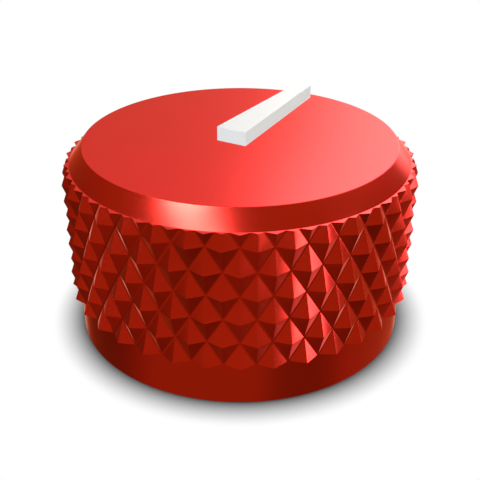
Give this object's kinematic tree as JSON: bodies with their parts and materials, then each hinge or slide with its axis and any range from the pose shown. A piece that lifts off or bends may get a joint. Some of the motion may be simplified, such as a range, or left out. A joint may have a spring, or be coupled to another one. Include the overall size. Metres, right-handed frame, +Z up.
{
  "type": "knurled knob",
  "caption": "Round control knob with a diamond-knurled grip band above a plain collar, a chamfered flat top with a raised tapered pointer, and a blind shaft bore underneath.",
  "frame": {"origin": "on the knob's axis, level with the foot of the collar", "axes": "+Z up along the knob's axis, out of the flat top; +Y the way the pointer points, which is also the side of the grub screw"},
  "size_m": [0.0284, 0.0284, 0.0168],
  "materials": {
    "anodised_aluminium": "red anodised, satin turned",
    "white_plastic": "moulded, smooth",
    "black_oxide_steel": "black oxide"
  },
  "bodies": {
    "root": {"knob_body": "anodised_aluminium", "pointer": "white_plastic", "grub_screw": "black_oxide_steel"}
  },
  "joints": []
}
